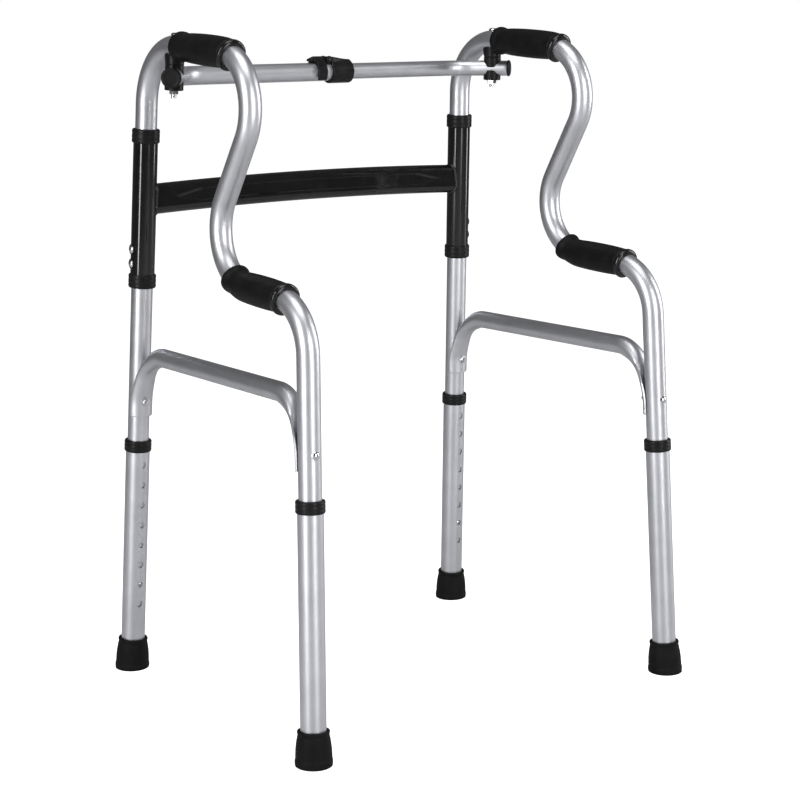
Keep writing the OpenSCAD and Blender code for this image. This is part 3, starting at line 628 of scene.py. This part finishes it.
def closed_tube(path, radius, start, stop, step=0.003, columns=48, lip=0.0004):
    """Rows, radii and flattening of a solid rod with small rounded ends and two poles."""
    s = np.linspace(start + lip, stop - lip, max(int((stop - start) / step), 2))
    s = np.concatenate([[start, start, start + 0.3 * lip], s, [stop - 0.3 * lip, stop, stop]])
    r = np.full(len(s), radius)
    r[[0, -1]] = 0
    r[[1, -2]] = radius - lip
    r[[2, -3]] = radius - 0.3 * lip
    return carried(path, s, r, columns, oval_in_bends(path, s))


for side in SIDES:
    path = paths[side]
    surface(f"bent_tube_{side}", closed_tube(path, TUBE_R, 0, path.length),
            f"{side}_frame", tube_finish, [f"side_tube_{side}"])

# %% [markdown]
# ## Hand grips
# Each grip is a moulded vinyl sleeve: a soft flange in front that keeps the thumb, a
# crowned body, and a glossy ring at the rear. The profile is a list of distances and
# radii, and the same carrying function bends it round the tube, so the grip follows the
# bend as the real one does when it is pushed on.

# %% Grips
GRIP_BORE = 13.0 * MM
RING_LENGTH = 7.5 * MM


def smooth_profile(points, count=90):
    """A cubic Hermite curve through distance and radius pairs in millimetres, with each
    slope taken from the neighbouring points."""
    p = np.array(points, float) * MM
    s = np.linspace(p[0, 0], p[-1, 0], count)
    k = np.clip(np.searchsorted(p[:, 0], s, side="right") - 1, 0, len(p) - 2)
    t = (s - p[k, 0]) / (p[k + 1, 0] - p[k, 0])
    slope = np.gradient(p[:, 1], p[:, 0])
    width = p[k + 1, 0] - p[k, 0]
    r = ((2 * t ** 3 - 3 * t ** 2 + 1) * p[k, 1] + (t ** 3 - 2 * t ** 2 + t) * width * slope[k]
         + (-2 * t ** 3 + 3 * t ** 2) * p[k + 1, 1] + (t ** 3 - t ** 2) * width * slope[k + 1])
    return s, r


def sleeve_ring(path, start, s, r, bore, columns=64):
    """An outer profile and a bore, joined at both ends into one closed ring of rows."""
    back = s[::-1][::4]
    outer = carried(path, start + s, r, columns)
    inner = carried(path, start + back, np.full(len(back), bore), columns)
    return np.concatenate([outer, inner])


def grip_profile(length):
    """Flange, neck and crowned body, up to where the ring begins."""
    end = length - RING_LENGTH / MM
    return smooth_profile([
        (0, 13.4), (0.6, 14.9), (2.0, 16.6), (5.0, 17.3), (8.5, 16.7), (12, 15.7), (16, 15.7),
        (24, 16.4), (0.34 * length, 17.1), (0.55 * length, 17.5), (0.76 * length, 17.2),
        (0.88 * length, 16.6), (end - 1.6, 16.3), (end - 0.4, 15.9), (end, 15.2)])


RING_PROFILE = [(0, 15.3), (0.5, 16.4), (1.6, 17.5), (3.4, 18.0), (5.2, 17.8), (6.5, 16.8),
                (7.2, 15.4), (7.5, 13.6)]


def hand_grip(name, side, start, length):
    path = paths[side]
    s, r = grip_profile(length / MM)
    surface(name, sleeve_ring(path, start, s, r, GRIP_BORE), f"{side}_frame",
            grip_finish, [name], ring=True)
    s, r = smooth_profile(RING_PROFILE, 30)
    surface(f"{name}_ring", sleeve_ring(path, start + length - RING_LENGTH, s, r, GRIP_BORE),
            f"{side}_frame", ring_finish, ring=True)


TOP_GRIP, LOWER_GRIP = 115.5 * MM, 111 * MM
TOP_ON_BEND, LOWER_BEFORE = 20 * MM, 31 * MM
for side in SIDES:
    bends = paths[side].bends
    hand_grip(f"top_grip_{side}", side, bends[1][0] + TOP_ON_BEND - TOP_GRIP, TOP_GRIP)
    hand_grip(f"lower_grip_{side}", side, bends[2][1] - LOWER_BEFORE, LOWER_GRIP)

# %% [markdown]
# ## Lower cross tubes
# The round tube is pressed flat at each end, so that it hugs the leg like a spoon. Every
# row is a blend of two closed outlines with the same number of points: a circle, and a
# crescent drawn round the leg's axis. The blend runs over the last eight
# centimetres or so.

# %% Side rails
RAIL_R, RAIL_HEIGHT, RAIL_BEND, RAIL_FOOT = 11 * MM, 396.5 * MM, 36 * MM, 320 * MM
RAIL_OFFSET = 23.8 * MM
SHELL_INNER, SHELL_OUTER, SHELL_HALF_ANGLE = 12.85 * MM, 15.8 * MM, math.radians(75)
SPOON_LENGTH, SPREAD_LENGTH = 14 * MM, 72 * MM


def rail_path(side):
    """Centre line of one cross tube, from its front spoon up, back and down again."""
    origin, behind, up = side_axes(side)
    level = -behind[2] / up[2]
    foot, slope = rear_line(side)
    low = rear_place(side, 0, RAIL_OFFSET)
    rise = (RAIL_HEIGHT - low[1] + level * low[0]) / (slope[1] - level * slope[0])
    corners = [[RAIL_OFFSET, RAIL_FOOT], [RAIL_OFFSET, RAIL_HEIGHT + RAIL_OFFSET * level],
               list(rear_place(side, rise, RAIL_OFFSET)),
               list(rear_place(side, RAIL_FOOT, RAIL_OFFSET))]
    return Path(corners, [RAIL_BEND, RAIL_BEND], origin, behind, up)


def rail_grid(path, columns=64):
    """Blends n = r cos t, b = r sin t with the crescent n = offset - R cos a, b = R sin a,
    where a sweeps one way over the outer arc and back over the inner one."""
    t = round_columns(columns)
    away = (t >= np.pi / 2 - 1e-9) & (t <= 1.5 * np.pi + 1e-9)
    a = np.where(away, np.pi - t, np.where(t > np.pi, t - 2 * np.pi, t)) * (
        SHELL_HALF_ANGLE / (np.pi / 2))
    middle, half = (SHELL_OUTER + SHELL_INNER) / 2, (SHELL_OUTER - SHELL_INNER) / 2
    edge = np.sqrt(np.clip(1 - np.abs(a / SHELL_HALF_ANGLE) ** 16, 0, 1))
    thick = np.where(away, half, -half) * edge
    s = np.concatenate([[0, 0, 0.2 * MM, 0.7 * MM],
                        np.linspace(1.5 * MM, 100 * MM, 70),
                        np.linspace(103 * MM, path.length / 2, 60)])
    scale = np.concatenate([[0, 0.75, 0.93], np.ones(len(s) - 3)])
    s = np.concatenate([s, path.length - s[-2::-1]])
    scale = np.concatenate([scale, scale[-2::-1]])
    from_end = np.minimum(s, path.length - s)
    blend = np.clip((from_end - SPOON_LENGTH) / SPREAD_LENGTH, 0, 1)
    blend = (blend * blend * (3 - 2 * blend))[:, None]
    radius = middle + thick[None, :] * scale[:, None]
    n = blend * RAIL_R * np.cos(t) + (1 - blend) * (RAIL_OFFSET - radius * np.cos(a))
    b = blend * RAIL_R * np.sin(t) + (1 - blend) * radius * np.sin(a)
    centre, normal, out = path.at(s)
    return centre[:, None] + n[..., None] * normal[:, None] + b[..., None] * out[:, None]


for side in SIDES:
    surface(f"cross_tube_{side}", rail_grid(rail_path(side)), f"{side}_frame",
            tube_finish, [f"side_rail_{side}"])

# %% [markdown]
# ## The black brace
# Two sleeves on the front legs carry a flattened tube that bows up a little and has a long
# shallow recess pressed into both faces. The outline is a stadium walked at even steps,
# and the recess is a height field on its flat sides. A weld bead follows the seam between
# the flattened tube and each sleeve, found by meeting every outline point with the sleeve.

# %% Brace
SLEEVE_R, SLEEVE_BORE = 14.3 * MM, 12.78 * MM
SLEEVE_LOW, SLEEVE_HIGH, BRACE_HEIGHT = 476 * MM, 660 * MM, 578 * MM
BRACE_TALL, BRACE_DEEP, BRACE_BOW = 36 * MM, 18 * MM, 5 * MM
RECESS_DEEP, RECESS_HALF, RECESS_SLOPE = 1.2 * MM, 6.8 * MM, 1.5 * MM
RECESS_STOP, RECESS_TAPER = 40 * MM, 34 * MM
BRACE_INSET, SLEEVE_ROWS, BEAD_RIPPLES = 8 * MM, 40, 34
brace_end = legs["front", "left"].origin + BRACE_HEIGHT * legs["front", "left"].along
HALF_SPAN = -brace_end[0]


def stadium(columns=144):
    """Even steps along an upright stadium: depth and height of each point, and its
    outward direction."""
    r, flat = BRACE_DEEP / 2, BRACE_TALL - BRACE_DEEP
    bow, total = np.pi * r, 2 * np.pi * r + 2 * flat
    p = np.linspace(0, total, columns, endpoint=False)
    on_top, after = p < bow, p - bow
    on_back = (after >= 0) & (after < flat)
    on_base = (after >= flat) & (after < flat + bow)
    a = np.where(on_top, p / r, np.where(on_base, np.pi + (after - flat) / r,
                                         np.where(on_back, np.pi, 0)))
    y = r * np.cos(a)
    z = r * np.sin(a)
    z = np.where(on_top, z + flat / 2, np.where(on_base, z - flat / 2, 0))
    z = np.where(on_back, flat / 2 - after, z)
    z = np.where(~(on_top | on_back | on_base), -flat / 2 + (after - flat - bow), z)
    return y, z, np.cos(a), np.sin(a)


def bow_height(x):
    """Height of a circle's arc over its chord, which is HALF_SPAN long on each side."""
    radius = (HALF_SPAN ** 2 + BRACE_BOW ** 2) / (2 * BRACE_BOW)
    return BRACE_BOW - radius + np.sqrt(radius ** 2 - x ** 2)


def brace_grid():
    """Stadium rows along x, lifted by the bow; the recess sinks both faces by a smooth
    step in height, and its half height narrows to nothing at the two ends."""
    y, z, _, _ = stadium()
    x = np.linspace(-HALF_SPAN + BRACE_INSET, HALF_SPAN - BRACE_INSET, 190)
    x = np.concatenate([x[:1], x, x[-1:]])
    room = np.clip((HALF_SPAN - RECESS_STOP - np.abs(x)) / RECESS_TAPER, 0, 1)[:, None]
    inside = np.clip((RECESS_HALF * room - np.abs(z - 1 * MM)) / RECESS_SLOPE + 0.5, 0, 1)
    inside = inside * inside * (3 - 2 * inside) * np.clip(room * 8, 0, 1)
    deep = y[None, :] - np.sign(y) * RECESS_DEEP * inside * (np.abs(y) > 0.92 * BRACE_DEEP / 2)
    scale = np.ones(len(x))[:, None]
    scale[[0, -1]] = 0
    return np.stack([np.broadcast_to(x[:, None], deep.shape),
                     brace_end[1] + scale * deep,
                     brace_end[2] + bow_height(x)[:, None] + scale * z[None, :]], -1)


def weld_bead(axis, radius=1.7 * MM, columns=14):
    """A small circle carried round the seam: x solves |perpendicular part| = sleeve radius."""
    y, z, ny, nz = stadium(180)
    side = np.sign(axis.origin[0])
    start = np.stack([np.zeros_like(y), brace_end[1] + y,
                      brace_end[2] + bow_height(HALF_SPAN - SLEEVE_R) + z], -1)
    step = np.array([1.0, 0, 0])
    step = step - (step @ axis.along) * axis.along
    away = start - axis.origin
    away = away - np.outer(away @ axis.along, axis.along)
    a, b, c = step @ step, away @ step, (away ** 2).sum(1) - SLEEVE_R ** 2
    x = (-b - side * np.sqrt(b * b - a * c)) / a
    ripple = radius * (1 + 0.06 * np.sin(BEAD_RIPPLES * round_columns(len(y))))
    centre = start + np.outer(x, [1, 0, 0])
    outward = np.stack([np.zeros_like(ny), ny, nz], -1)
    t = round_columns(columns)
    return (centre[:, None] + ripple[:, None, None] * (
        np.cos(t)[None, :, None] * outward[:, None] + np.sin(t)[None, :, None] * [1, 0, 0]))


surface("brace_bar", brace_grid(), "brace", coat_finish, ["cross_brace"])
for side in SIDES:
    axis = legs["front", side]
    corners = rounded([(SLEEVE_LOW, SLEEVE_BORE), (SLEEVE_LOW, SLEEVE_R),
                       (SLEEVE_HIGH, SLEEVE_R), (SLEEVE_HIGH, SLEEVE_BORE)], 0.4 * MM)
    heights = np.linspace(SLEEVE_LOW + 4 * MM, SLEEVE_HIGH - 5 * MM, SLEEVE_ROWS)
    wall = np.stack([heights, np.full(SLEEVE_ROWS, SLEEVE_R)], -1)
    outline = np.concatenate([corners[:5], wall, corners[5:]])
    surface(f"brace_sleeve_{side}", turned(axis, outline[:, 0], outline[:, 1]), "brace",
            coat_finish, ring=True)
    surface(f"weld_bead_{side}", weld_bead(axis), "brace", coat_finish, ring=True)

# %% [markdown]
# ## Collars and feet
# Anything turned on a lathe or moulded round a leg needs only a profile. The collars have
# two shallow grooves and eased lips. The feet flare to the floor in a soft curve. Their
# lowest points are then pressed to floor level, because a leaning leg needs a slanted sole.

# %% Collars and feet
COLLAR_R, COLLAR_BORE, COLLAR_LIP_BORE = 16.25 * MM, 14.38 * MM, 12.95 * MM
COLLAR_LIP, GROOVE_DEEP, FOOT_R = 1.4 * MM, 0.35 * MM, 20.75 * MM


def collar_profile(low, high, inner, outer, lip_up):
    """Closed outline of a collar: eased outer corners, two grooves and a thin inner lip."""
    tall, groove_r = high - low, outer - GROOVE_DEEP
    points = [(0, COLLAR_BORE), (0, outer - 1.5 * MM), (0.5 * MM, outer - 0.5 * MM),
              (1.5 * MM, outer), (0.28 * tall, outer)]
    for place in (0.33 * tall, 0.67 * tall):
        points += [(place - 0.7 * MM, outer), (place - 0.25 * MM, groove_r),
                   (place + 0.25 * MM, groove_r), (place + 0.7 * MM, outer)]
    points += [(tall - 1.7 * MM, outer), (tall - 0.6 * MM, outer - 0.5 * MM),
               (tall, outer - 1.6 * MM), (tall, inner), (tall - COLLAR_LIP, inner),
               (tall - COLLAR_LIP, COLLAR_BORE)]
    p = rounded(points, 0.5 * MM)
    h = low + p[:, 0] if lip_up else high - p[:, 0]
    return h, p[:, 1]


def collar_piece(node, axis, body, outer, lip_up):
    low, high = span(node, axis)
    h, r = collar_profile(low, high, COLLAR_LIP_BORE, outer, lip_up)
    surface(f"{node}_moulded", turned(axis, h, r), body, collar_finish, [node],
            ring=True)


for side in SIDES:
    collar_piece(f"upper_collar_{side}", legs["front", side], "brace", COLLAR_R, True)
    collar_piece(f"lower_collar_{side}", legs["front", side], "brace", COLLAR_R, False)
for (end, side), axis in legs.items():
    collar_piece(f"leg_collar_{end}_{side}", axis, f"{end}_{side}_leg", COLLAR_R, True)

# Height and radius in millimetres, from the sole's edge up and back down the bore
FOOT_PROFILE = [(6.2, 20.75), (7.0, 20.55), (7.6, 20.1), (12, 20.05), (18, 19.8), (24, 19.2),
                (29, 18.4), (33, 17.6), (35, 17.35), (35.8, 17.6), (36.6, 17.9), (37.8, 17.9),
                (38.6, 17.5), (39, 16.8), (39, 15.2), (38.5, 14.36), (22, 14.36), (6, 14.36),
                (6, 0)]


def foot_grid(axis):
    """Sole rings at set heights above the floor, then the boot's profile up the leg."""
    sole = [(0, 1.2), (8.6, 1.2), (8.8, 0.0), (11.2, 0.0), (11.4, 1.2), (13.4, 1.2),
            (13.6, 0.0), (18.6, 0.0), (19.8, 0.0), (20.5, 0.5)]
    r = np.array([p[0] for p in sole]) * MM
    level = np.array([p[1] for p in sole]) * MM
    bottom = turned(axis, np.zeros(len(r)), r)
    shift = (level[:, None] - bottom[..., 2]) / axis.along[2]
    bottom = bottom + shift[..., None] * axis.along
    p = rounded(np.array(FOOT_PROFILE) * MM, 0.6 * MM)
    h = np.concatenate([[3.2 * MM], p[:, 0]])
    r = np.concatenate([[FOOT_R], p[:, 1]])
    return np.concatenate([bottom, turned(axis, h, r)])


for (end, side), axis in legs.items():
    surface(f"rubber_foot_{end}_{side}", foot_grid(axis), f"{end}_{side}_leg",
            rubber_finish, [f"foot_{end}_{side}"])

# %% [markdown]
# ## The telescopic bar
# The bar swings on two bolts behind the brace. Its ends turn towards the user. The outer
# tube comes from the left and the inner one from the right, and the lock rides over the
# mouth of the outer tube. Both are the same carried circle in a level plane.

# %% Bar tubes and plugs
BAR_OUTER_R, BAR_INNER_R, BAR_BEND = 11 * MM, 9.5 * MM, 50 * MM
BAR_TURN, BAR_TAIL = math.radians(50), 20 * MM
pivot_left = np.array(joints["outer_bar_pivot"]["pos_m"])
lock_place = np.array(joints["lock_catch_lift"]["pos_m"])
BAR_Y = lock_place[1]
BAR_Z = sum(span("bar_inner_tube", Axis((0, 0, 0), (0, 0, 1), (0, 1, 0)))) / 2
BAR_OUTER_STOP, BAR_INNER_STOP = 30 * MM, 38 * MM
PLUG_STEM, PLUG_HEAD, PLUG_DISH = 6 * MM, 3.0 * MM, 2.3 * MM


def bar_path(side, stop):
    """Level path from the bar's free end round its bend and along to stop."""
    hand = 1 if side == "left" else -1
    set_back = BAR_Y - pivot_left[1]
    corners = [[pivot_left[0] - BAR_TAIL * math.cos(BAR_TURN),
                pivot_left[1] - BAR_TAIL * math.sin(BAR_TURN)],
               [pivot_left[0] + set_back / math.tan(BAR_TURN), BAR_Y], [stop, BAR_Y]]
    return Path(corners, [BAR_BEND], (0, 0, BAR_Z), (hand, 0, 0), (0, 1, 0))


def end_plug(name, path, radius, body, node):
    """A turned plug: a stem inside the tube and a low dished head on its end."""
    centre, _, _ = path.at([0, 1 * MM])
    axis = Axis(centre[0], centre[0] - centre[1], (0, 0, 1))
    stem, brim = radius - 1.4 * MM, radius + 0.7 * MM
    p = rounded([(-PLUG_STEM, 0), (-PLUG_STEM, stem), (0.1 * MM, stem), (0.1 * MM, brim),
                 (1.6 * MM, brim), (PLUG_HEAD, radius - 0.7 * MM),
                 (PLUG_HEAD, radius - 2.0 * MM), (PLUG_DISH, radius - 2.9 * MM),
                 (PLUG_DISH, 0)], 0.5 * MM)
    surface(name, turned(axis, p[:, 0], p[:, 1]), body, saddle_finish, [node])


for side, stop, radius, kind in (("left", BAR_OUTER_STOP, BAR_OUTER_R, "outer"),
                                 ("right", BAR_INNER_STOP, BAR_INNER_R, "inner")):
    path = bar_path(side, stop)
    surface(f"bar_{kind}", closed_tube(path, radius, 0, path.length), f"{kind}_bar",
            tube_finish, [f"bar_{kind}_tube"])
    end_plug(f"bar_{kind}_end", path, radius, f"{kind}_bar", f"bar_{kind}_plug")

# %% [markdown]
# ## Moulded saddles and the lock
# These shapes are cut by several tubes at once, which is awkward to write as one surface.
# The CAD solid already has every cut in the right place, so its mesh is copied, merged,
# rebuilt in small even cells and relaxed. That rounds every edge by about half a
# millimetre, as a mould would.

# %% Saddles and lock
def moulded_copy(node, body, material, cell=0.45 * MM, passes=5, push=None):
    """A copy of a CAD node with its edges rounded by an even remesh and some relaxing.
    push, if given, takes the merged points and returns them moved."""
    source = frame["nodes"][node]
    mesh = bpy.data.meshes.new(f"{node}_moulded")
    work = bmesh.new()
    work.from_mesh(source.data)
    bmesh.ops.remove_doubles(work, verts=work.verts, dist=SAME_PLACE)
    work.to_mesh(mesh)
    work.free()
    if push:
        points = np.zeros(len(mesh.vertices) * 3)
        mesh.vertices.foreach_get("co", points)
        mesh.vertices.foreach_set("co", push(points.reshape(-1, 3)).ravel())
        mesh.update()
    mesh.materials.append(material)
    piece = bpy.data.objects.new(f"{node}_moulded", mesh)
    bpy.context.scene.collection.objects.link(piece)
    cells = piece.modifiers.new("even_cells", "REMESH")
    cells.mode, cells.voxel_size, cells.use_smooth_shade = "VOXEL", cell, True
    relax = piece.modifiers.new("relax", "SMOOTH")
    relax.factor, relax.iterations = 0.5, passes
    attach(piece, body)
    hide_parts(node)
    print(piece.name, "from", len(mesh.polygons), "CAD faces")


def flared_forward(side, reach=7 * MM):
    """Pushes the front half of a saddle forward, the more the nearer it is to the tube."""
    origin, behind, up = side_axes(side)
    low, high = span(f"tube_saddle_{side}", legs["front", side])

    def push(points):
        height = np.clip(((points - origin) @ up - low) / (high - low), 0, 1)
        back = (points - origin) @ behind
        front = np.clip((back.mean() - back) / (back.max() - back.min()) * 2, 0, 1)
        return points - np.outer(reach * height ** 1.5 * front, behind)
    return push


for side, bar_body in (("left", "outer_bar"), ("right", "inner_bar")):
    moulded_copy(f"tube_saddle_{side}", f"{side}_frame", saddle_finish,
                 push=flared_forward(side))
    moulded_copy(f"bar_cradle_{side}", bar_body, saddle_finish)
    moulded_copy(f"bar_keeper_{side}", bar_body, saddle_finish)
moulded_copy("lock_lever", "lock_catch", saddle_finish)

# %% [markdown]
# The lock's sleeve is simple enough for a formula. Each cross-section is the larger of a
# circle and a rounded block on its top, blended smoothly. The block is tall at the hinge
# and sinks into the circle towards the far end. Two small discs carry the hinge pin.

# %% Lock sleeve
LOCK_R, LOCK_START, LOCK_END = 14 * MM, 4 * MM, 35 * MM
HINGE_X, HINGE_Z, HUMP_START, HUMP_FALL = 2 * MM, 15 * MM, 5.7 * MM, 26 * MM
HUMP_TALL, HUMP_SINK, HUMP_HALF, HUMP_TAPER = 18.4 * MM, 4.8 * MM, 8.2 * MM, 3.2 * MM
LOCK_BORE, MOUTH_BORE, MOUTH_START, LOCK_EASE = 11.06 * MM, 9.8 * MM, 30 * MM, 1.4 * MM
EAR_R, EAR_THICK, EAR_PLACE = 4.0 * MM, 3.4 * MM, 4.4 * MM


def lock_sleeve(columns=96):
    """r = (circle^12 + hump^12)^(1/12), where the hump is a rounded box of falling height."""
    a = round_columns(columns)[None, :]
    t = np.concatenate([[0, 0.01, 0.03], np.linspace(0.06, 0.92, 44),
                        [0.95, 0.975, 0.99, 1]])[:, None]
    ease = np.clip((np.cos(a) - 0.72) / 0.12, 0, 1)
    start = LOCK_START + (HUMP_START - LOCK_START) * ease * ease * (3 - 2 * ease)
    x = start + (LOCK_END - start) * t
    fall = np.clip((x - HUMP_START) / HUMP_FALL, 0, 1)
    height = HUMP_TALL - HUMP_SINK * fall
    width = HUMP_HALF - HUMP_TAPER * fall
    up, aside = np.clip(np.cos(a), 1e-3, 1), np.abs(np.sin(a))
    hump = ((up / height) ** 8 + (aside / width) ** 8) ** (-1 / 8) * (np.cos(a) > 0)
    radius = (LOCK_R ** 12 + hump ** 12) ** (1 / 12)
    near_end = np.minimum(t, 1 - t) * (LOCK_END - LOCK_START)
    most = np.where(t > 0.5, 1.3, 0.6) * MM
    radius = radius - most * (1 - np.clip(near_end / LOCK_EASE, 0, 1)) ** 2
    inner_t = np.linspace(1, 0, 12)[:, None]
    inner_x = start + (LOCK_END - start) * inner_t
    bore = np.where(inner_x > MOUTH_START, MOUTH_BORE, LOCK_BORE)
    x = np.concatenate([x, inner_x])
    radius = np.concatenate([radius, bore])
    return np.stack([x, BAR_Y + radius * np.sin(a), BAR_Z + radius * np.cos(a)], -1)


surface("lock_sleeve", lock_sleeve(), "outer_bar", saddle_finish, ["lock_body"],
        ring=True)
for hand, name in ((-1, "rear"), (1, "front")):
    ear = Axis((HINGE_X, BAR_Y + hand * EAR_PLACE, BAR_Z + HINGE_Z), (0, hand, 0), (0, 0, 1))
    disc = rounded([(0, 0), (0, EAR_R), (EAR_THICK, EAR_R), (EAR_THICK, 0)], 0.6 * MM)
    surface(f"hinge_ear_{name}", turned(ear, disc[:, 0], disc[:, 1], 40), "outer_bar",
            saddle_finish)

# %% [markdown]
# Everything else stays as the CAD has it, because its flats and holes are already exact:
# the lower legs with their rows of holes, and all the bolts, nuts, buttons and springs.
# They only need a finish.

# %% Finish of the kept CAD parts
def paint(names, material):
    for name in names:
        for holder in frame["nodes"][name].material_slots:
            holder.link = "OBJECT"
            holder.material = material


paint([f"leg_{end}_{side}" for end, side in legs], leg_finish)
paint([f"{part}_{side}" for part in ("rail_bolts", "rail_nuts", "pivot_bolt", "pivot_nut")
       for side in SIDES], steel_finish)
paint(["stop_rivets", "lock_hinge_pin", "lock_peg"], steel_finish)
paint(["stop_washers"], collar_finish)
paint([f"button_{end}_{side}" for end, side in legs], steel_finish)
paint([f"spring_{end}_{side}" for end, side in legs], spring_finish)
print("painted the kept parts")
